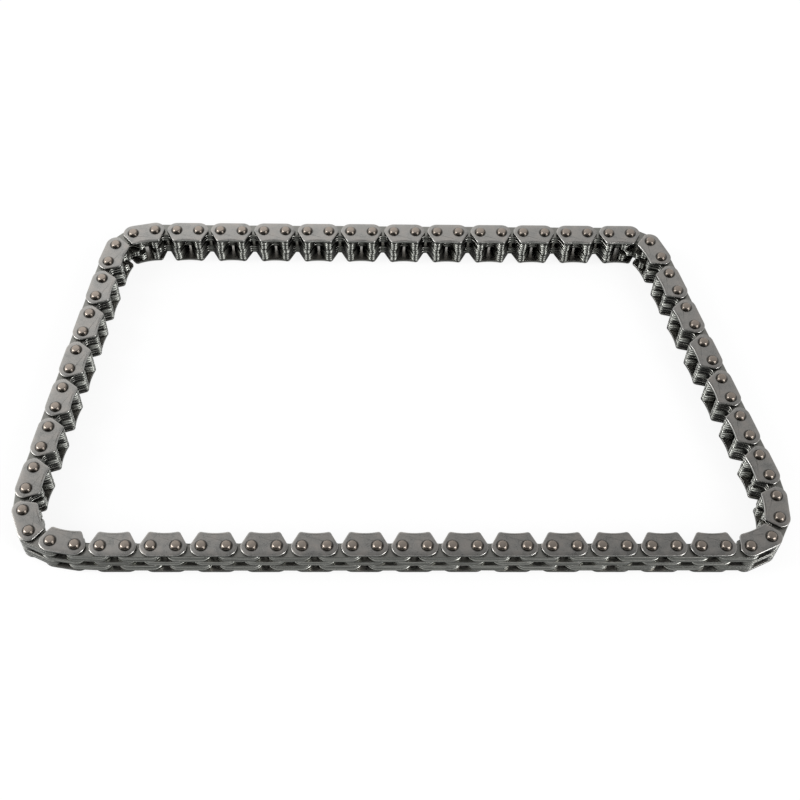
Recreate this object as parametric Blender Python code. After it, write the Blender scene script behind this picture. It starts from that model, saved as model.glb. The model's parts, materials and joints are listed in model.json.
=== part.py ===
# Oil pump chain: a closed inverted-tooth chain lying on its side, pins upright, teeth into the loop.
# Links alternate. A guide link is two outer guide plates and a centre row of toothed plates, held by
# two riveted pins. An inner link is an upper and a lower row of toothed plates that turn on the pins
# of the guide links before and after it. The plates of a row lie face to face and make one solid.
# A guide link and the inner link after it make one solid too, fixed at the pin that they share, but
# the sharp links of the corners and the links of one open pair stay separate pieces.

import bpy
import bmesh
from cmath import rect
from math import acos, atan2, cos, degrees, pi, radians, sin

# Chain
PITCH = 0.00635  # from pin to pin
FRONT_LINKS = 26  # links in the straight front run
SIDE_LINKS = 12  # links in each straight side run
BACK_PAIRS_FEWER = 2  # pairs of links that the back run has fewer than the front run
OPEN_PAIR = 6  # the pair whose pieces are all separate, counted from the left end of the front run

# Directions of the links round each corner, in degrees from the front run
FRONT_RIGHT = (25, 62, 88, 98)
BACK_RIGHT = (114, 151)
BACK_LEFT = (192, 223, 256)
FRONT_LEFT = (270, 291, 334, 350, 357)
LOOSE_BEND = 45  # an inner link that the loop bends across by more than this is a piece of its own

# Plates
GUIDE_THICKNESS = 0.00078
PLATE_THICKNESS = 0.00092
INNER_PLATES = 3  # toothed plates in each row of an inner link
CENTRE_PLATES = 2  # toothed plates in the centre row of a guide link
SIDE_PLAY = 0.00012  # between one row and the next
END_GAP = 0.00065  # between the ends of two plates of one row
TOOTH_DEPTH = 0.0040  # from the pin line to the tooth tips
TIP_LAND = 0.00145  # flat width of a tooth tip
CROTCH_ROOT = 0.0011  # from the pin line to the bottom between the teeth
CROTCH_FLAT = 0.0020  # width of that bottom
GUIDE_HOLLOW = 0.00045  # how far a guide plate's inner edge is hollowed
BEND_SPARE = 14  # degrees that two joints in a row can bend past the sharpest place of the loop
CORNER_GAP = 0.0001  # left between two plate corners at that bend

# Pins
PIN_RADIUS = 0.0010
PIN_PLAY = 0.0001  # between a pin and the bore that turns on it
OPEN_PLAY = 0.0004  # the same at the pin that closes the loop
SEAT_GAP = 0.0001  # between a pin and a separate plate that is riveted to it
HEAD_RADIUS = 0.00145
HEAD_TOP_RADIUS = 0.00105
HEAD_HEIGHT = 0.00085
HEAD_SINK = 0.0001  # how deep a head is set into the guide plate it is one solid with
PIN_SIDES = 6
ARC_POINTS = 3  # points on the round of a plate's end
SHARP_ANGLE = 62  # degrees between two faces from which their edge is shaded sharp
SAME_BEND_DIGITS = 6  # decimals to which the bends of two link pairs agree for them to share a mesh

BACK_LINKS = FRONT_LINKS - 2 * BACK_PAIRS_FEWER
END_RADIUS = (PITCH - END_GAP) / 2
OPEN_LINK = 2 * OPEN_PAIR


def clear_scene():
    for obj in list(bpy.data.objects):
        bpy.data.objects.remove(obj, do_unlink=True)


# Each link's direction, in degrees. The two side runs take the two directions that close the loop.
def link_directions():
    straight = [0] * FRONT_LINKS + [180] * BACK_LINKS
    bends = [*FRONT_RIGHT, *BACK_RIGHT, *BACK_LEFT, *FRONT_LEFT]
    left_over = -sum(rect(1, radians(d)) for d in straight + bends) / SIDE_LINKS
    middle = degrees(atan2(left_over.imag, left_over.real)) % 360
    spread = degrees(acos(abs(left_over) / 2))
    right, left = sorted(((middle - spread) % 360, (middle + spread) % 360))
    return (
        [0] * FRONT_LINKS + [*FRONT_RIGHT] + [right] * SIDE_LINKS + [*BACK_RIGHT]
        + [180] * BACK_LINKS + [*BACK_LEFT] + [left] * SIDE_LINKS + [*FRONT_LEFT]
    )


# The pins' places, with pin i at the start of link i
def pin_places(directions):
    places, here = [], 0j
    for direction in directions:
        places.append(here)
        here += rect(PITCH, radians(direction))
    return places


# How far the loop bends across a link, from the one before it to the one after it
def bend_across(directions, i):
    after = directions[(i + 1) % len(directions)]
    return (after - directions[i - 1]) % 360


# How far a plate's inner corner lies past its pin, for the corners to clear each other in the bend
def corner_reach(directions):
    half = radians(max(bend_across(directions, i) for i in range(len(directions))) + BEND_SPARE) / 2
    return ((PITCH - CORNER_GAP) / 2 - TOOTH_DEPTH * sin(half)) / cos(half)


# The round end past a plate's pin, from the back edge to the pin line, where the straight flank starts
def plate_end():
    return [rect(END_RADIUS, pi / 2 * (n / (ARC_POINTS - 1) - 1)) for n in range(ARC_POINTS)]


# A plate's outline, counter-clockwise, with its first pin at 0 and its second at PITCH
def plate_outline(reach, inner_edge):
    half = plate_end() + [complex(reach, TOOTH_DEPTH)]
    right = [PITCH + point for point in half]
    left = [-point.conjugate() for point in reversed(half)]
    return right + inner_edge + left


def guide_outline(reach):
    return plate_outline(reach, [complex(PITCH / 2, TOOTH_DEPTH - GUIDE_HOLLOW)])


def toothed_outline(reach):
    mouth = PITCH / 2 + reach - TIP_LAND
    crotch = [
        complex(mouth, TOOTH_DEPTH),
        complex(CROTCH_FLAT / 2, CROTCH_ROOT),
        complex(-CROTCH_FLAT / 2, CROTCH_ROOT),
        complex(-mouth, TOOTH_DEPTH),
    ]
    return plate_outline(reach, [PITCH / 2 + point for point in crotch])


# Heights of the rows, from the lower guide plate up, as (bottom, top)
def row_heights():
    thicknesses = {
        "lower_guide": GUIDE_THICKNESS,
        "lower_inner": INNER_PLATES * PLATE_THICKNESS,
        "centre": CENTRE_PLATES * PLATE_THICKNESS,
        "upper_inner": INNER_PLATES * PLATE_THICKNESS,
        "upper_guide": GUIDE_THICKNESS,
    }
    rows, height = {}, HEAD_HEIGHT
    for row, thickness in thicknesses.items():
        rows[row] = (height, height + thickness)
        height += thickness + SIDE_PLAY
    return rows


# Adds a flat plate to a mesh. It stands at a pin and is turned by an angle in degrees.
def add_plate(shape, outline, heights, pin=0j, turn=0):
    bottom, top = heights
    points = [pin + point * rect(1, radians(turn)) for point in outline]
    face = shape.faces.new([shape.verts.new((p.real, p.imag, bottom)) for p in points])
    raised = bmesh.ops.extrude_face_region(shape, geom=[face])["geom"]
    lifted = [item for item in raised if isinstance(item, bmesh.types.BMVert)]
    bmesh.ops.translate(shape, vec=(0, 0, top - bottom), verts=lifted)


# Adds a round piece from its profile, a list of (radius, height) from the bottom up
def add_turned(shape, profile, pin=0j):
    angles = [2 * pi * n / PIN_SIDES for n in range(PIN_SIDES)]
    rings = [
        [
            shape.verts.new((pin.real + radius * cos(a), pin.imag + radius * sin(a), height))
            for a in angles
        ]
        for radius, height in profile
    ]
    shape.faces.new(reversed(rings[0]))
    shape.faces.new(rings[-1])
    for below, above in zip(rings, rings[1:]):
        for n in range(PIN_SIDES):
            after = (n + 1) % PIN_SIDES
            shape.faces.new((below[n], below[after], above[after], above[n]))


# A riveted pin's profile from the bottom up. Each head's rim stands off the guide plate by a gap, or its
# straight edge goes into the plate by a depth.
def pin_profile(rows, gap=0, depth=0):
    low, high = rows["lower_guide"][0], rows["upper_guide"][1]
    rim = low - gap
    lower = [(HEAD_TOP_RADIUS, low - HEAD_HEIGHT), (HEAD_RADIUS, rim), (PIN_RADIUS, rim + depth)]
    if depth:
        lower.insert(2, (HEAD_RADIUS, rim + depth))
    upper = [(radius, low + high - height) for radius, height in reversed(lower)]
    return lower + upper


# A bore's cutter, wide enough for a pin of PIN_SIDES sides to turn in
def bore_profile(rows, play):
    radius = (PIN_RADIUS + play) / cos(pi / PIN_SIDES)
    return [(radius, 0), (radius, rows["upper_guide"][1] + HEAD_HEIGHT)]


def helper(fill):
    shape = bmesh.new()
    fill(shape)
    bmesh.ops.recalc_face_normals(shape, faces=shape.faces)
    mesh = bpy.data.meshes.new("helper")
    shape.to_mesh(mesh)
    shape.free()
    obj = bpy.data.objects.new("helper", mesh)
    bpy.context.scene.collection.objects.link(obj)
    return obj


# The mesh of some plates, joined with the pins that they are riveted to and cut by the bores
def joined_mesh(name, fill_plates, pins=(), bores=()):
    plates = helper(fill_plates)
    tools = []
    for operation, rounds in (("UNION", pins), ("DIFFERENCE", bores)):
        for profile, place in rounds:
            tool = helper(lambda shape: add_turned(shape, profile, place))
            modifier = plates.modifiers.new(operation, "BOOLEAN")
            modifier.operation = operation
            modifier.object = tool
            tools.append(tool)
    depsgraph = bpy.context.evaluated_depsgraph_get()
    mesh = bpy.data.meshes.new_from_object(plates.evaluated_get(depsgraph))
    mesh.name = name
    for obj in [plates, *tools]:
        bpy.data.objects.remove(obj, do_unlink=True)
    mesh.shade_smooth()
    mesh.set_sharp_from_angle(angle=radians(SHARP_ANGLE))
    return mesh


def steel(name, colour, roughness):
    material = bpy.data.materials.new(name)
    material.use_nodes = True
    surface = material.node_tree.nodes["Principled BSDF"]
    surface.inputs["Base Color"].default_value = (*colour, 1)
    surface.inputs["Roughness"].default_value = roughness
    surface.inputs["Metallic"].default_value = 1
    return material


# Stands a mesh at its joint's pin, with its first link along the given direction
def place(name, mesh, pin, direction, material):
    obj = bpy.data.objects.new(name, mesh)
    obj.location = (pin.real, pin.imag, 0)
    obj.rotation_euler.z = radians(direction)
    bpy.context.scene.collection.objects.link(obj)
    mesh.materials.clear()
    mesh.materials.append(material)
    return obj


# A guide link, alone or with the inner link after it, which turns off by the bend at their pin
def pair_mesh(rows, guide, toothed, bend, end_play):
    def fill(shape):
        add_plate(shape, guide, rows["lower_guide"])
        add_plate(shape, toothed, rows["centre"])
        add_plate(shape, guide, rows["upper_guide"])
        if bend is not None:
            for row in ("lower_inner", "upper_inner"):
                add_plate(shape, toothed, rows[row], PITCH, bend)

    profile = pin_profile(rows, depth=HEAD_SINK)
    bores = []
    if bend is not None:
        bores = [(bore_profile(rows, end_play), PITCH + rect(PITCH, radians(bend)))]
    return joined_mesh("link_pair", fill, [(profile, 0j), (profile, complex(PITCH))], bores)


# A plate or a row of plates by itself, bored at both ends
def bored_plate(name, rows, outline, heights, play):
    bore = bore_profile(rows, play)
    bores = [(bore, 0j), (bore, complex(PITCH))]
    return joined_mesh(name, lambda shape: add_plate(shape, outline, heights), bores=bores)


# The open pair's guide link: two guide plates, the centre plates and two pins, each by itself
def place_open_guide_link(rows, guide, toothed, number, pin, direction, steels):
    for side in ("lower", "upper"):
        name = f"guide_plate_{number}_{side}"
        mesh = bored_plate(name, rows, guide, rows[f"{side}_guide"], SEAT_GAP)
        place(name, mesh, pin, direction, steels["guide"])
    low = rows["centre"][0]
    for n in range(CENTRE_PLATES):
        name = f"centre_plate_{number}_{n + 1}"
        bottom = low + n * PLATE_THICKNESS
        heights = (bottom + (SEAT_GAP if n else 0), bottom + PLATE_THICKNESS)
        mesh = bored_plate(name, rows, toothed, heights, SEAT_GAP)
        place(name, mesh, pin, direction, steels["toothed"])
    for n in range(2):
        name = f"pin_{number + n}"
        profile = pin_profile(rows, gap=SEAT_GAP)
        mesh = joined_mesh(name, lambda shape: add_turned(shape, profile, n * complex(PITCH)))
        place(name, mesh, pin, direction, steels["pin"])


def place_inner_link(rows, toothed, number, pin, direction, steels):
    for side in ("lower", "upper"):
        name = f"inner_link_{number}_{side}"
        mesh = bored_plate(name, rows, toothed, rows[f"{side}_inner"], PIN_PLAY)
        place(name, mesh, pin, direction, steels["toothed"])


# Middle of the loop over its guide plates, which the part's origin lies under
def loop_middle(outline, directions, pins):
    points = [
        pins[i] + point * rect(1, radians(directions[i]))
        for i in range(len(pins))
        for point in outline
    ]
    across, along = [p.real for p in points], [p.imag for p in points]
    return complex(min(across) + max(across), min(along) + max(along)) / 2


def main():
    clear_scene()
    directions = link_directions()
    pins = pin_places(directions)
    reach = corner_reach(directions)
    guide, toothed = guide_outline(reach), toothed_outline(reach)
    rows = row_heights()
    middle = loop_middle(toothed, directions, pins)
    steels = {
        "guide": steel("guide plate steel", (0.27, 0.28, 0.27), 0.32),
        "toothed": steel("toothed plate steel", (0.25, 0.26, 0.25), 0.38),
        "pin": steel("pin steel", (0.33, 0.29, 0.26), 0.35),
    }
    meshes = {}
    last = len(directions) - 2
    for i in range(0, len(directions), 2):
        pin, direction = pins[i] - middle, directions[i]
        bend = round(directions[i + 1] - direction, SAME_BEND_DIGITS)
        loose = bend_across(directions, i + 1) > LOOSE_BEND or i == OPEN_LINK
        if loose:
            next_pin = pins[i + 1] - middle
            place_inner_link(rows, toothed, i + 1, next_pin, directions[i + 1], steels)
        if i == OPEN_LINK:
            place_open_guide_link(rows, guide, toothed, i, pin, direction, steels)
            continue
        kind = (None if loose else bend, OPEN_PLAY if i == last else PIN_PLAY)
        if kind not in meshes:
            meshes[kind] = pair_mesh(rows, guide, toothed, *kind)
        name = f"guide_link_{i:02d}" if loose else f"link_pair_{i:02d}"
        place(name, meshes[kind], pin, direction, steels["guide"])


main()
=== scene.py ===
import json
import random
from cmath import phase, rect
from math import atan2, cos, pi, radians, sin, tan

import bpy
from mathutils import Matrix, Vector
from mathutils.geometry import tessellate_polygon


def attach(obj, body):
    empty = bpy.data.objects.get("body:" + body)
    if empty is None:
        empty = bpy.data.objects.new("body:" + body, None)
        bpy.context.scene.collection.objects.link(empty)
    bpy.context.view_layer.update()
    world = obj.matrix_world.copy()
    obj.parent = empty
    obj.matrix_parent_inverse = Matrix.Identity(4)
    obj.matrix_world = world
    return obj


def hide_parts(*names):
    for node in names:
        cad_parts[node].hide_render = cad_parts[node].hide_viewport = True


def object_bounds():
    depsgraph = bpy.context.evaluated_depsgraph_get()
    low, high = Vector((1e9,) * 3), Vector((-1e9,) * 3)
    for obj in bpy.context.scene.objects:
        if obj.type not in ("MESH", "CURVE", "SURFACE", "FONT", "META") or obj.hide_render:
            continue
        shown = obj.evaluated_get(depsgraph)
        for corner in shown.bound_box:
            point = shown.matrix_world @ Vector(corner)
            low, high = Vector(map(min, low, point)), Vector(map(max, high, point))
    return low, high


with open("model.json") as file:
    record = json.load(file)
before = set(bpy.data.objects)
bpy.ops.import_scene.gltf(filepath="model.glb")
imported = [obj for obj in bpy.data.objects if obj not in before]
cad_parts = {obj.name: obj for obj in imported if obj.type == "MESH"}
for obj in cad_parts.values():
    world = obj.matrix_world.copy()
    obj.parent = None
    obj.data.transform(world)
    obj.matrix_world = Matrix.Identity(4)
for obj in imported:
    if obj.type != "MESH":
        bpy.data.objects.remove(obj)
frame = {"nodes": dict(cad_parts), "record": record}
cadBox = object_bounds()
chance = random.Random(86)


# A node's output. Sums, differences, products and powers of outputs add their Math nodes.
class Wire:
    def __init__(self, tree, socket=None):
        self.tree = tree
        self.socket = socket

    # Any node: its settings come first, then what its sockets hold or are linked to
    def node(self, kind, settings=None, sockets=None, out=0):
        made = self.tree.nodes.new(kind)
        for name, value in (settings or {}).items():
            setattr(made, name, value)
        for name, value in (sockets or {}).items():
            if isinstance(value, Wire):
                self.tree.links.new(value.socket, made.inputs[name])
            else:
                made.inputs[name].default_value = value
        return Wire(self.tree, made.outputs[out]) if made.outputs else made

    def maths(self, operation, first, second):
        return self.node("ShaderNodeMath", {"operation": operation}, {0: first, 1: second})

    def clamped(self):
        return self.node("ShaderNodeClamp", sockets={0: self})

    def __add__(self, other):
        return self.maths("ADD", self, other)

    def __radd__(self, other):
        return self.maths("ADD", other, self)

    def __sub__(self, other):
        return self.maths("SUBTRACT", self, other)

    def __rsub__(self, other):
        return self.maths("SUBTRACT", other, self)

    def __mul__(self, other):
        return self.maths("MULTIPLY", self, other)

    def __rmul__(self, other):
        return self.maths("MULTIPLY", other, self)

    def __pow__(self, other):
        return self.maths("POWER", self, other)

    def __abs__(self):
        return self.maths("ABSOLUTE", self, 0)


def mixColours(factor, first, second):
    settings = {"data_type": "RGBA"}
    return factor.node("ShaderNodeMix", settings, {0: factor, 6: first, 7: second}, out=2)


# An empty material and the wire that its nodes are added with
def blankMaterial(name):
    material = bpy.data.materials.new(name)
    material.use_nodes = True
    material.node_tree.nodes.clear()
    return material, Wire(material.node_tree)


# Steel finishes. Sizes are in metres, and the shares say how strongly each mark shows. The rim, tip, end
# and flank brightening is partly painted highlight, and the head rings, hollows and tip lands are painted
# shade.
guideFinish = {
    "colour": (0.485, 0.478, 0.458, 1),
    "stain": (0.375, 0.35, 0.325, 1),
    "cutColour": (0.07, 0.073, 0.066, 1),
    "cutSlope": (0.5, 0.33),  # how level the face is where the edge begins, and over what it fades in
    # rims: partly rubbed steel and partly a painted highlight
    "rimColour": (0.66, 0.66, 0.64, 1),
    "rimShare": 0.6,
    # rubbed colour: real on the back edge, and partly a painted highlight on the tip corners and flanks
    "rubAndHighlightColour": (0.55, 0.56, 0.53, 1),
    "backShare": 0.05,  # how bright the guide rail rubs the outer edge
    "tipShare": 0.5,
    "flankRubAndSheen": 0,
    "endRubAndGlintShare": 0,
    "roughness": 0.30,
    "cutRoughness": 0.34,
    "cloudSize": 0.0022,
    "cloudShare": 1.2,
    "grainSize": 0.0003,
    "grainShare": 0.6,
    "grainDepth": 0.000005,
    "streakSize": (0.004, 0.004, 0.00016),
    "streakShare": 2.1,
    "tornBand": 0.6,
    "tornShade": 0.35,
    "ringRadius": (0.00156, 0.0018),  # the painted contact shadow round a rivet head
    "ringShade": 0.24,
    "hollowShadeShare": 0,  # how strongly the hollows between and inside the links are darkened with painted shade
    "tipLandShadeShare": 0,  # and the painted shade on the middle of a tooth's tip
    "crownDepth": 0.00008,  # how far the face falls away toward the outer edge
}
toothedFinish = {
    "colour": (0.355, 0.355, 0.33, 1),
    "stain": (0.29, 0.28, 0.26, 1),
    "cutColour": (0.068, 0.071, 0.063, 1),
    "cutSlope": (0.5, 0.33),
    # rims: partly rubbed steel and partly a painted highlight
    "rimColour": (0.68, 0.69, 0.64, 1),
    "rimShare": 0.3,
    # rubbed colour: real on the back edge, and partly a painted highlight on the tip corners and flanks
    "rubAndHighlightColour": (0.8, 0.82, 0.76, 1),
    "backShare": 0.03,
    "tipShare": 0.8,
    "flankRubAndSheen": 0.2,
    "endRubAndGlintShare": 0.6,
    "roughness": 0.32,
    "cutRoughness": 0.34,
    "cloudSize": 0.002,
    "cloudShare": 0.6,
    "grainSize": 0.0003,
    "grainShare": 0.4,
    "grainDepth": 0.000005,
    "streakSize": (0.004, 0.004, 0.00013),
    "streakShare": 2.25,
    "tornBand": 0.3,
    "tornShade": 0.4,
    "ringRadius": (0.00103, 0.0012),
    "ringShade": 0.5,
    "hollowShadeShare": 0.92,
    "tipLandShadeShare": 0.75,
    "crownDepth": 0,
}
pinFinish = {
    "colour": (0.48, 0.415, 0.36, 1),
    "stain": (0.40, 0.34, 0.29, 1),
    # on a pin this dark colour covers the head's steep shoulder: painted shade
    "cutColour": (0.1, 0.088, 0.076, 1),
    "cutSlope": (0.96, 0.3),
    "rimColour": (0.4, 0.35, 0.3, 1),
    "rimShare": 0,
    "rubAndHighlightColour": (0.4, 0.35, 0.3, 1),
    "backShare": 0,
    "tipShare": 0,
    "flankRubAndSheen": 0,
    "endRubAndGlintShare": 0,
    "roughness": 0.31,
    "cutRoughness": 0.27,
    "cloudSize": 0.0008,
    "cloudShare": 0.5,
    "grainSize": 0.00025,
    "grainShare": 0.3,
    "grainDepth": 0.000003,
    "streakSize": (0.001, 0.001, 0.0002),
    "streakShare": 0.3,
    "tornBand": -1,
    "tornShade": 1,
    "ringRadius": (0, 0.00001),
    "ringShade": 1,
    "hollowShadeShare": 0,
    "tipLandShadeShare": 0,
    "crownDepth": 0,
}


# Noise that runs from 0 to 1 over the piece, with its marks as large along x, y and z as the size says
def noise(places, size, detail=3):
    sizes = size if isinstance(size, tuple) else (size, size, size)
    scaled = places.node(
        "ShaderNodeVectorMath", {"operation": "MULTIPLY"}, {0: places, 1: [1 / s for s in sizes]}
    )
    return places.node("ShaderNodeTexNoise", sockets={"Vector": scaled, "Scale": 1, "Detail": detail})


# 0 where a value is at the first of two ends or before it, 1 at the second or after it
def between(value, ends):
    return ((value - ends[0]) * (1 / (ends[1] - ends[0]))).clamped()


def parts(vector):
    return [vector.node("ShaderNodeSeparateXYZ", sockets={0: vector}, out=n) for n in range(3)]


# Where a plate is rubbed bright, carries a painted highlight or painted shade, or falls away at its crown,
# in metres. Each pair is where a mark starts and where it is full, counted inward from the line of the
# pins, or along the link from its middle or from the nearer pin.
rubAndPaintedLight = {
    "back": (-0.0020, -0.0027),
    "tipCorner": (0.00016, 0.00034),  # from the middle of a tooth's tip
    "tip": (0.0031, 0.0036),
    "side": (0.13, 0.32),  # as a share of the thickness, from its middle
    "pastPin": (0.0004, 0.0012),
    "slotBack": (-0.0021, -0.0014),  # the slot between two links' ends
    "slotFront": (0.0028, 0.0014),
    "mouthMiddle": (0.0002, 0.0007),  # the hollow between a link's own teeth
    "mouthSide": (0.0027, 0.0023),
    "mouthRoot": (0.0007, 0.0012),
    "mouthTip": (0.004, 0.0037),
    "endBack": (-0.0015, -0.0021),
    "flankInward": (0, 0.001),
    "flankAlong": (0.0038, 0.0041),
    "crown": (0.0013, 0.0027),
}
stainCloud = (0.35, 0.75)
rimPeak = 6.4
rimFloor = 0.6
tornSlope = 8
roughnessShares = {"clouds": 0.12, "grain": 0.1, "torn": 0.2, "rim": -0.1}


def steelMaterial(name, finish):
    material, empty = blankMaterial(name)
    places = empty.node("ShaderNodeTexCoord", out=3)
    upward = parts(empty.node("ShaderNodeNewGeometry", out=1))[2]
    along, inward, height = parts(empty.node("ShaderNodeAttribute", {"attribute_name": "linkPlace"}, out=1))
    # 1 on the upright edges and 0 on the flat faces
    level = abs(upward)
    cut = ((finish["cutSlope"][0] - level) * (1 / finish["cutSlope"][1])).clamped()
    # 1 on the rounded rims between them, which are rubbed bright and also carry a painted highlight
    rim = (rimPeak * (1 - level) * level - rimFloor).clamped()
    # how far a point is past the line of the pins, or past the nearer pin at a link's ends
    fromMiddle = abs(along - plate["pitch"] / 2)
    pastPin = fromMiddle - plate["pitch"] / 2
    past = pastPin.maths("MAXIMUM", pastPin, 0)
    outward = inward.maths("MINIMUM", inward, 0)
    reach = (past * past + outward * outward) ** 0.5
    fromPin = (pastPin ** 2 + inward * inward) ** 0.5
    # the outer edge rubs on the guide rail, and both corners of a tooth's tip on the sprocket; the tip
    # corners also carry a painted highlight
    back = between(inward, rubAndPaintedLight["back"]) * finish["backShare"]
    atTip = between(inward, rubAndPaintedLight["tip"])
    atSide = between(abs(height - 0.5), rubAndPaintedLight["side"])
    corner = between(abs(pastPin - plate["tipMiddle"]), rubAndPaintedLight["tipCorner"]) * (1 - atSide)
    tips = atTip * cut * corner * finish["tipShare"]
    # painted shade on the middle of a tooth's tip land
    tipLandShade = atTip * cut * (1 - corner) * finish["tipLandShadeShare"]
    # painted shade: little light gets between the ends of two links, or in between a link's own teeth
    atEnd = between(pastPin, rubAndPaintedLight["pastPin"])
    slot = atEnd * between(inward, rubAndPaintedLight["slotBack"]) * between(inward, rubAndPaintedLight["slotFront"])
    mouth = between(fromMiddle, rubAndPaintedLight["mouthMiddle"]) * between(fromMiddle, rubAndPaintedLight["mouthSide"])
    mouth = mouth * between(inward, rubAndPaintedLight["mouthRoot"]) * between(inward, rubAndPaintedLight["mouthTip"])
    hollow = (slot + mouth * cut).clamped() * finish["hollowShadeShare"]
    clouds = noise(places, finish["cloudSize"], detail=4)
    grain = noise(places, finish["grainSize"])
    streaks = noise(places, finish["streakSize"], detail=2)
    # the lower part of a punched edge is torn and not sheared
    torn = ((finish["tornBand"] - height) * tornSlope + streaks - 0.5).clamped() * cut
    # the rims at a toothed plate's ends and tips are rubbed, and brightened further as a painted highlight
    endRubAndGlint = (atEnd * between(inward, rubAndPaintedLight["endBack"]) + atTip).clamped() * finish["endRubAndGlintShare"]
    rim = rim * (endRubAndGlint + finish["rimShare"]).clamped()
    # the tooth flanks are brightened, partly as rubbing on the sprocket and partly as a painted reflection
    # of the floor
    flank = between(inward, rubAndPaintedLight["flankInward"]) * between(fromMiddle, rubAndPaintedLight["flankAlong"]) * cut
    # rubbed bright on the back edge; on the tip corners and flanks, partly rubbing and partly painted light
    rubAndHighlight = (cut * back + tips + flank * finish["flankRubAndSheen"]).clamped()
    # painted contact shadow: a dark ring round each pin
    ring = 1 - between(fromPin, finish["ringRadius"])
    faceColour = mixColours(between(clouds, stainCloud), finish["colour"], finish["stain"])
    colour = mixColours(cut, faceColour, finish["cutColour"])
    colour = mixColours(rubAndHighlight, mixColours(rim, colour, finish["rimColour"]), finish["rubAndHighlightColour"])
    marks = 1 + (grain - 0.5) * finish["grainShare"] + (clouds - 0.5) * finish["cloudShare"]
    marks = marks + (streaks - 0.5) * cut * finish["streakShare"]
    shade = marks * (1 - torn * (1 - finish["tornShade"])) * (1 - ring * (1 - finish["ringShade"]))
    # painted shade in the hollows and on the middle of the tip lands
    shade = shade * (1 - hollow) * (1 - tipLandShade)
    shaded = colour.node("ShaderNodeVectorMath", {"operation": "SCALE"}, {0: colour, "Scale": shade})
    rough = finish["roughness"] + cut * (finish["cutRoughness"] - finish["roughness"])
    rough = rough + (clouds - 0.5) * roughnessShares["clouds"] + (grain - 0.5) * roughnessShares["grain"]
    rough = rough + torn * roughnessShares["torn"] + rim * roughnessShares["rim"]
    crown = between(reach, rubAndPaintedLight["crown"])
    relief = finish["grainDepth"] * (grain + streaks * cut) - finish["crownDepth"] * crown * crown
    bump = empty.node("ShaderNodeBump", sockets={"Strength": 1, "Distance": 1, "Height": relief})
    surface = empty.node(
        "ShaderNodeBsdfPrincipled",
        sockets={"Base Color": shaded, "Metallic": 1, "Roughness": rough.clamped(), "Normal": bump},
    )
    empty.node("ShaderNodeOutputMaterial", sockets={"Surface": surface})
    return material


# Places of the pins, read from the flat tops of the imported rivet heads. Points on the plane the chain
# lies in are complex numbers, and the loop runs round its middle with its teeth on the left.
top = cadBox[1].z
sameHeight = 0.00001
samePin = 0.003  # corners nearer than this belong to the same pin


def headTops(nodes):
    corners = {
        (round(vertex.co.x, 6), round(vertex.co.y, 6))
        for node in nodes
        for vertex in frame["nodes"][node].data.vertices
        if vertex.co.z > top - sameHeight
    }
    corners = [complex(*corner) for corner in sorted(corners)]
    first = [c for c in corners if abs(c - corners[0]) < samePin]
    second = [c for c in corners if abs(c - corners[0]) >= samePin]
    ends = [sum(group) / len(group) for group in (first, second)]
    middle, along = sum(ends) / 2, ends[1] - ends[0]
    return ends if (-middle * along.conjugate()).imag > 0 else ends[::-1]


bodyNodes = frame["record"]["behaviour"]["bodies"]
pins = {}
for body, nodes in bodyNodes.items():
    if not body.startswith("inner_link"):
        number = int(body[-2:])
        pins[number], pins[number + 1] = headTops(nodes)
linkCount = len(pins)
pitch = sum(abs(pins[(i + 1) % linkCount] - pins[i]) for i in range(linkCount)) / linkCount
print("chain:", linkCount, "links, pitch", round(pitch * 1000, 3), "mm")

# Plates, in metres. Outlines are drawn with a link's first pin at 0, its second at one pitch and its
# teeth on the +y side.
plate = {
    "pitch": pitch,
    "endRadius": 0.00285,
    "endSteps": 9,
    "flankStart": 0.00017,  # above the pin line
    "flankRound": 0.0006,
    "flankSteps": 2,
    "tipDepth": 0.00408,
    "tipSteps": 4,
    "tipReach": 0.0007,  # past the pin
    "tipMiddle": 0.00008,  # of a tooth's tip, past the pin
    "boreRadius": 0.00103,
    "borePoints": 12,
    "rimSteps": 3,
    "rimLean": 82,  # degrees, where the rim runs out into the flat face
    "offset": 0.00003,  # how far a plate can lie from its neighbours
    "turn": 0.3,  # degrees, in the plate's own plane
    "tilt": 0.25,
    "warp": 1.1,
}
guide = {
    "thickness": 0.00078,
    "tipRound": 0.00085,
    "hollow": 0.00045,
    "hollowPoints": 7,
    "topRound": 0.00016,
    "backRound": 0.00006,
    "border": 0.0003,
    "loose": 0.5,  # how far a guide plate strays, as a share of a toothed plate's
}
toothed = {
    "thickness": 0.00092,
    "inner": 3,
    "centre": 2,
    "tipLand": 0.00125,
    "tipRound": 0.0006,
    "mouthRound": 0.00025,
    "mouthSteps": 3,
    "root": 0.0011,
    "rootWidth": 0.0020,
    "rootRound": 0.0015,
    "rootSteps": 5,
    "topRound": 0.00022,
    "backRound": 0.0001,
    "border": 0.0002,
    "between": 0.00002,  # two plates of a row
    "flipped": 0.5,  # the share of the plates that lie the other way up
}
sidePlay = 0.00012
headHeight = 0.00085


# A closed outline whose corners are rounded. Each corner is its point, its radius and how many steps
# its round takes.
def roundedOutline(corners):
    outline = []
    for i, (point, radius, steps) in enumerate(corners):
        before = corners[i - 1][0] - point
        after = corners[(i + 1) % len(corners)][0] - point
        if not radius:
            outline.append(point)
            continue
        turn = phase(-after / before)
        inward = radius * tan(abs(turn) / 2)
        start = point + before / abs(before) * inward
        side = 1 if turn > 0 else -1
        centre = start + (-before / abs(before)) * 1j * side * radius
        outline += [centre + (start - centre) * rect(1, turn * n / steps) for n in range(steps + 1)]
    return outline


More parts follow.
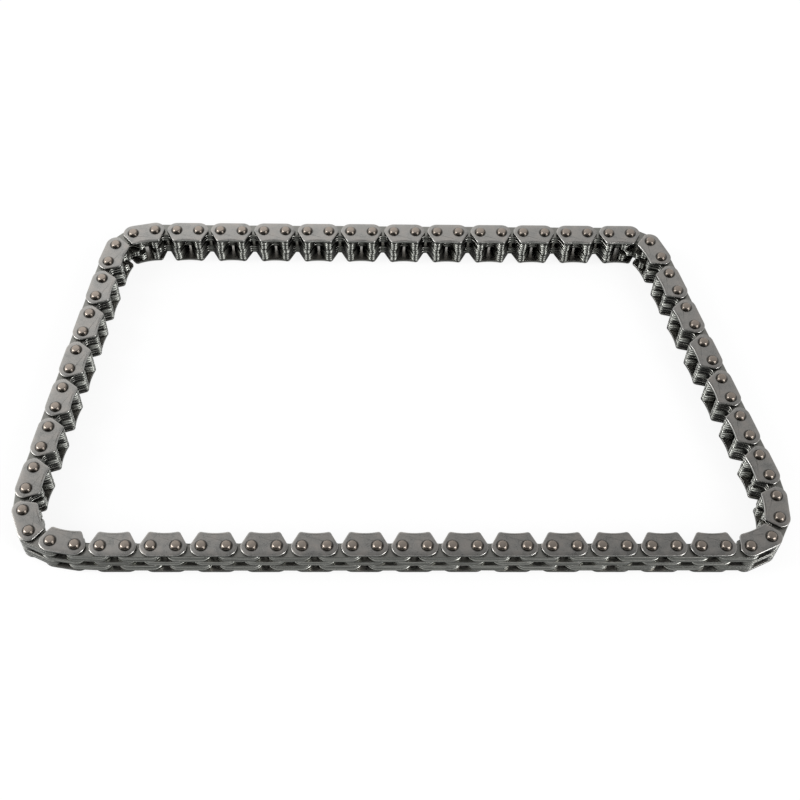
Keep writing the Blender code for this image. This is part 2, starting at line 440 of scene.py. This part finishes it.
# Half of the outer outline, from the back edge round the end to the tooth tip, past a pin at 0
def plateEnd(tipRound):
    radius = plate["endRadius"]
    return [
        (complex(radius, -radius), radius, plate["endSteps"]),
        (complex(radius, plate["flankStart"]), plate["flankRound"], plate["flankSteps"]),
        (complex(plate["tipReach"], plate["tipDepth"]), tipRound, plate["tipSteps"]),
    ]


def mirrored(corners):
    return [(pitch - point.conjugate(), radius, steps) for point, radius, steps in reversed(corners)]


def shiftedEnd(tipRound):
    return [(pitch + point, radius, steps) for point, radius, steps in plateEnd(tipRound)]


def guideOutline():
    half = pitch / 2 + plate["tipReach"]
    count = guide["hollowPoints"]
    hollow = []
    for n in range(1, count):
        across = 1 - 2 * n / count
        depth = plate["tipDepth"] - guide["hollow"] * (1 - across * across)
        hollow.append((complex(pitch / 2 + across * half, depth), 0, 0))
    end = shiftedEnd(guide["tipRound"])
    return roundedOutline(end + hollow + mirrored(end))


def toothedOutline():
    mouth = pitch + plate["tipReach"] - toothed["tipLand"]
    root = complex(pitch / 2 + toothed["rootWidth"] / 2, toothed["root"])
    side = [
        (complex(mouth, plate["tipDepth"]), toothed["mouthRound"], toothed["mouthSteps"]),
        (root, toothed["rootRound"], toothed["rootSteps"]),
    ]
    end = shiftedEnd(toothed["tipRound"])
    return roundedOutline(end + side + mirrored(side) + mirrored(end))


# A plate lying between heights 0 and its thickness, as (points, normals, faces)
def plateShape(outline, sizes):
    thick, topRound, backRound = sizes["thickness"], sizes["topRound"], sizes["backRound"]
    steps = plate["rimSteps"]
    levels = [(0, backRound, -pi / 2), (backRound, 0, 0)]
    for n in range(steps + 1):
        lean = radians(plate["rimLean"]) * n / steps
        levels.append((thick - topRound * (1 - sin(lean)), topRound * (1 - cos(lean)), lean))
    levels.append((thick, topRound + sizes["border"], pi / 2))
    boreLevels = [(0, 0, -pi / 2), (0, 0, 0), (thick, 0, 0), (thick, 0, pi / 2)]
    around = [-2 * pi * n / plate["borePoints"] for n in range(plate["borePoints"])]
    bores = [[centre + rect(plate["boreRadius"], angle) for angle in around] for centre in (0, pitch)]
    points, normals, faces, rims = [], [], [], []
    for loop, rings in ((outline, levels), (bores[0], boreLevels), (bores[1], boreLevels)):
        count, start = len(loop), len(points)
        outward = []
        for n, point in enumerate(loop):
            before, after = point - loop[n - 1], loop[(n + 1) % count] - point
            across = before / abs(before) + after / abs(after)
            outward.append(-1j * across / abs(across))
        for height, inset, lean in rings:
            for point, out in zip(loop, outward):
                place = point - out * inset
                points.append((place.real, place.imag, height))
                normals.append((out.real * cos(lean), out.imag * cos(lean), sin(lean)))
        for level in range(len(rings) - 1):
            if rings[level][:2] == rings[level + 1][:2]:
                continue
            for n in range(count):
                a, b = start + level * count + n, start + level * count + (n + 1) % count
                faces.append((a, b, b + count, a + count))
        rims += [(start + n, start + (len(rings) - 1) * count + n) for n in range(count)]
    flat = [[Vector((p.real, p.imag, 0)) for p in loop] for loop in (outline, *bores)]
    for corners in tessellate_polygon(flat):
        a, b, c = (Vector(points[rims[k][0]]) for k in corners)
        if (b - a).cross(c - a).z < 0:
            corners = corners[::-1]
        faces.append(tuple(rims[k][1] for k in corners))
        faces.append(tuple(rims[k][0] for k in reversed(corners)))
    return points, normals, faces


# Several copies of shapes gathered into one mesh. Each point keeps its place on its own plate: along the
# link, into the loop, and its share of the thickness.
class Gathered:
    def __init__(self):
        self.points, self.normals, self.places, self.faces = [], [], [], []

    # Puts a shape at a height, along the line from one pin to the next, lying either side up
    def lay(self, shape, start, end, height, thickness, flipped=False, loose=1):
        points, normals, faces = shape
        first = len(self.points)
        either = [chance.uniform(-1, 1) * loose for n in range(7)]
        turn = (end - start) / abs(end - start) * rect(1, radians(plate["turn"]) * either[0])
        shift = complex(either[1], either[2]) * plate["offset"]
        tilt = complex(either[3], either[4]) * radians(plate["tilt"])
        warp = complex(either[5], either[6]) * radians(plate["warp"])
        for (x, y, z), (nx, ny, nz) in zip(points, normals):
            place = start + (complex(x, y) + shift) * turn
            self.places += [x, y, z / thickness]
            if flipped:
                z, nz = thickness - z, -nz
            z += (complex(x - pitch / 2, y) * tilt.conjugate()).real
            normal = (complex(nx, ny) + warp * nz) * turn
            self.points.append((place.real, place.imag, height + z))
            self.normals.append((normal.real, normal.imag, nz))
        for face in faces:
            corners = reversed(face) if flipped else face
            self.faces.append(tuple(first + k for k in corners))

    def piece(self, name, body, material, slot, nodes):
        mesh = bpy.data.meshes.new(name)
        mesh.from_pydata(self.points, [], self.faces)
        mesh.shade_smooth()
        mesh.normals_split_custom_set_from_vertices(self.normals)
        mesh.attributes.new("linkPlace", "FLOAT_VECTOR", "POINT").data.foreach_set("vector", self.places)
        mesh.materials.append(material)
        piece = bpy.data.objects.new(name, mesh)
        bpy.context.scene.collection.objects.link(piece)
        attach(piece, body)
        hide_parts(*nodes)


# Rivet pins, in metres: a plain shank with a head spread over each guide plate
pin = {
    "shank": 0.001,
    "headRadius": 0.00145,
    "flatRadius": 0.00092,
    "crown": 0.00003,  # how far the head's middle stands over its shoulder
    "crownRings": ((0, 0), (0.5, 0.25), (0.96, 0.9)),  # shares of the flat's radius and of the crown
    "sunk": 0.00001,  # how far a head reaches into its guide plate
    "edge": 24,  # degrees, how steeply the shoulder starts
    "shoulder": 7,
    "sides": 32,
}


# A pin's profile from the bottom up, as (radius, height)
def pinProfile():
    flat, wide = pin["flatRadius"], pin["headRadius"]
    shoulderHeight = headHeight - pin["crown"]
    head = [(flat * out, pin["crown"] * down) for out, down in pin["crownRings"]]
    edge = radians(pin["edge"])
    for n in range(pin["shoulder"] + 1):
        lean = edge + (pi / 2 - edge) * n / pin["shoulder"]
        out = (sin(lean) - sin(edge)) / (1 - sin(edge))
        up = (cos(edge) - cos(lean)) / cos(edge)
        head.append((flat + (wide - flat) * out, pin["crown"] + shoulderHeight * up))
    head.append((pin["shank"], headHeight + pin["sunk"]))
    return head + [(radius, top - height) for radius, height in reversed(head)]


def pinShape():
    profile = pinProfile()
    points, normals, faces = [], [], []
    for k, (radius, height) in enumerate(profile):
        low, high = profile[max(k - 1, 0)], profile[min(k + 1, len(profile) - 1)]
        lean = atan2(low[0] - high[0], high[1] - low[1])
        for n in range(pin["sides"]):
            angle = 2 * pi * n / pin["sides"]
            points.append((radius * cos(angle), radius * sin(angle), height))
            normals.append((cos(angle) * cos(lean), sin(angle) * cos(lean), sin(lean)))
    for k in range(len(profile) - 1):
        for n in range(pin["sides"]):
            after = (n + 1) % pin["sides"]
            a, b = k * pin["sides"] + n, k * pin["sides"] + after
            faces.append((a, b, b + pin["sides"], a + pin["sides"]))
    return points, normals, faces


guideSteel = steelMaterial("guide steel", guideFinish)
toothedSteel = steelMaterial("toothed steel", toothedFinish)
pinSteel = steelMaterial("pin steel", pinFinish)
print("materials: three steels")

guideShape = plateShape(guideOutline(), guide)
toothedShape = plateShape(toothedOutline(), toothed)
rivetShape = pinShape()

# Heights of the rows' undersides, from the lower guide plate up
innerHeight = toothed["inner"] * toothed["thickness"]
centreHeight = toothed["centre"] * toothed["thickness"]
lowerGuide = headHeight
lowerInner = lowerGuide + guide["thickness"] + sidePlay
centreRow = lowerInner + innerHeight + sidePlay
upperInner = centreRow + centreHeight + sidePlay
upperGuide = upperInner + innerHeight + sidePlay


def layRow(gathered, start, end, height, count):
    for n in range(count):
        low = height + n * toothed["thickness"] + toothed["between"] / 2
        flipped = chance.random() < toothed["flipped"]
        gathered.lay(toothedShape, start, end, low, toothed["thickness"], flipped)


for body, nodes in bodyNodes.items():
    number = int(body[-2:])
    start, end, beyond = (pins[(number + n) % linkCount] for n in range(3))
    teeth = Gathered()
    if body.startswith("inner_link"):
        innerEnds = (start, end)
    else:
        guides, rivets = Gathered(), Gathered()
        thick, loose = guide["thickness"], guide["loose"]
        guides.lay(guideShape, start, end, lowerGuide, thick, flipped=True, loose=loose)
        guides.lay(guideShape, start, end, upperGuide, thick, loose=loose)
        layRow(teeth, start, end, centreRow, toothed["centre"])
        rivets.lay(rivetShape, start, end, 0, top, loose=0)
        rivets.lay(rivetShape, end, 2 * end - start, 0, top, loose=0)
        innerEnds = (end, beyond) if body.startswith("link_pair") else None
        separate = [node for node in nodes if node.startswith("pin")]
        plates = [node for node in nodes if node.startswith("guide_plate")]
        guides.piece(f"guidePlates_{number:02d}", body, guideSteel, "guide_steel", plates or nodes)
        rivets.piece(f"rivetPins_{number:02d}", body, pinSteel, "pin_steel", separate or nodes)
    if innerEnds:
        for height in (lowerInner, upperInner):
            layRow(teeth, *innerEnds, height, toothed["inner"])
    plates = [node for node in nodes if node.startswith("centre_plate")]
    teeth.piece(f"toothedPlates_{number:02d}", body, toothedSteel, "toothed_steel", plates or nodes)

# The camera stands where the photograph was taken from
camera = {
    "place": (-0.01139, -0.21357, 0.32368),
    "turn": (33.322, -1.488, -0.740),  # degrees
    "lens": 62.425,
    "sensor": 36,
    "nearest": 0.01,
}
cameraData = bpy.data.cameras.new("camera")
cameraData.lens = camera["lens"]
cameraData.sensor_width = camera["sensor"]
cameraData.clip_start = camera["nearest"]
cameraObject = bpy.data.objects.new("camera", cameraData)
cameraObject.location = camera["place"]
cameraObject.rotation_euler = [radians(angle) for angle in camera["turn"]]
bpy.context.scene.collection.objects.link(cameraObject)
bpy.context.scene.camera = cameraObject

# A white floor in a white studio. A black net hangs over the chain and before it, where only metal
# shows it.
studio = {
    "floorSize": 3,
    "floorColour": (0.9, 0.9, 0.9, 1),
    "shadowShare": 0.14,  # how much of the floor's own light shows, and with it the shadow
    "level": 0.8,
    "netRadius": 1.4,
    "netRings": 24,
    "overhead": (0.74, 0.93),  # sines of the heights between which the net thickens
    "overheadDensity": 0.73,
    "front": (-0.15, -0.5),  # how far toward the camera's side it thickens
    "frontDensity": 0.85,
    "right": (-0.1, 0.32),
    "rightDensity": 0.5,
    "shade": 0.011,  # how far from the chain the floor darkens in the metal
    "shadeSamples": 8,
}


# 1 for what the camera sees straight, and 1 for what it sees in metal and glass
def seenRays(empty):
    path = empty.node("ShaderNodeLightPath").socket.node
    names = ("Is Camera Ray", "Is Glossy Ray", "Is Transmission Ray")
    straight, glossy, through = (Wire(empty.tree, path.outputs[name]) for name in names)
    return straight, (glossy + through).clamped()


def floorMaterial():
    material, empty = blankMaterial("white floor")
    straight, inMetal = seenRays(empty)
    lit = empty.node("ShaderNodeBsdfDiffuse", sockets={"Color": studio["floorColour"]})
    white = empty.node("ShaderNodeEmission", sockets={"Color": (1, 1, 1, 1), "Strength": 1})
    settings = {"samples": studio["shadeSamples"]}
    near = empty.node("ShaderNodeAmbientOcclusion", settings, {"Distance": studio["shade"]}, out=1)
    factor = (straight + inMetal * near).clamped() * (1 - studio["shadowShare"])
    mixed = empty.node("ShaderNodeMixShader", sockets={0: factor, 1: lit, 2: white})
    empty.node("ShaderNodeOutputMaterial", sockets={"Surface": mixed})
    return material


def netMaterial():
    material, empty = blankMaterial("black net")
    place = empty.node("ShaderNodeTexCoord", out=3)
    unit = place.node("ShaderNodeVectorMath", {"operation": "NORMALIZE"}, {0: place})
    across, depth, rise = parts(unit)
    openness = 1 - between(rise, studio["overhead"]) * studio["overheadDensity"]
    openness = openness * (1 - between(depth, studio["front"]) * studio["frontDensity"])
    openness = openness * (1 - between(across, studio["right"]) * studio["rightDensity"])
    clear = empty.node("ShaderNodeBsdfTransparent")
    black = empty.node("ShaderNodeEmission", sockets={"Color": (0, 0, 0, 1), "Strength": 0})
    mixed = empty.node("ShaderNodeMixShader", sockets={0: openness, 1: black, 2: clear})
    empty.node("ShaderNodeOutputMaterial", sockets={"Surface": mixed})
    return material


def stageObject(name, points, faces, material):
    mesh = bpy.data.meshes.new(name)
    mesh.from_pydata(points, [], faces)
    mesh.materials.append(material)
    staged = bpy.data.objects.new(name, mesh)
    bpy.context.scene.collection.objects.link(staged)
    return staged


half = studio["floorSize"] / 2
corners = [(-half, -half, 0), (half, -half, 0), (half, half, 0), (-half, half, 0)]
stageObject("floor", corners, [(0, 1, 2, 3)], floorMaterial())

rings, sides = studio["netRings"], studio["netRings"] * 2
netPoints, netFaces = [], []
for ring in range(rings):
    rise = pi / 2 * (ring + 0.5) / rings
    for n in range(sides):
        bearing = 2 * pi * n / sides
        across = cos(rise) * studio["netRadius"]
        netPoints.append((across * cos(bearing), across * sin(bearing), sin(rise) * studio["netRadius"]))
for ring in range(rings - 1):
    for n in range(sides):
        a, b = ring * sides + n, ring * sides + (n + 1) % sides
        netFaces.append((a, b, b + sides, a + sides))
netFaces.append(tuple(range((rings - 1) * sides, rings * sides)))
net = stageObject("black net", netPoints, netFaces, netMaterial())
for rays in ("camera", "diffuse", "transmission", "volume_scatter", "shadow"):
    setattr(net, "visible_" + rays, False)

world = bpy.data.worlds.new("studio")
world.use_nodes = True
world.node_tree.nodes.clear()
empty = Wire(world.node_tree)
straight, inMetal = seenRays(empty)
strength = studio["level"] + (straight + inMetal).clamped() * (1 - studio["level"])
background = empty.node("ShaderNodeBackground", sockets={"Color": (1, 1, 1, 1), "Strength": strength})
empty.node("ShaderNodeOutputWorld", sockets={"Surface": background})
bpy.context.scene.world = world

# Tall soft boxes: bearing and height in degrees round the chain, distance, width and length in metres
softBoxes = [
    {"bearing": 187, "height": 25, "distance": 0.9, "width": 0.36, "length": 0.9, "power": 6},
    {"bearing": 323, "height": 25, "distance": 0.9, "width": 0.36, "length": 0.9, "power": 6},
]
for number, box in enumerate(softBoxes):
    bearing, rise = radians(box["bearing"]), radians(box["height"])
    toward = Vector((cos(bearing) * cos(rise), sin(bearing) * cos(rise), sin(rise)))
    lamp = bpy.data.lights.new(f"soft box {number}", "AREA")
    lamp.shape = "RECTANGLE"
    lamp.size, lamp.size_y = box["width"], box["length"]
    lamp.energy = box["power"]
    lampObject = bpy.data.objects.new(lamp.name, lamp)
    lampObject.location = toward * box["distance"]
    lampObject.rotation_euler = toward.to_track_quat("Z", "Y").to_euler()
    bpy.context.scene.collection.objects.link(lampObject)
print("studio: floor, net, surroundings and", len(softBoxes), "soft boxes")

bpy.context.scene.view_settings.view_transform = "Standard"
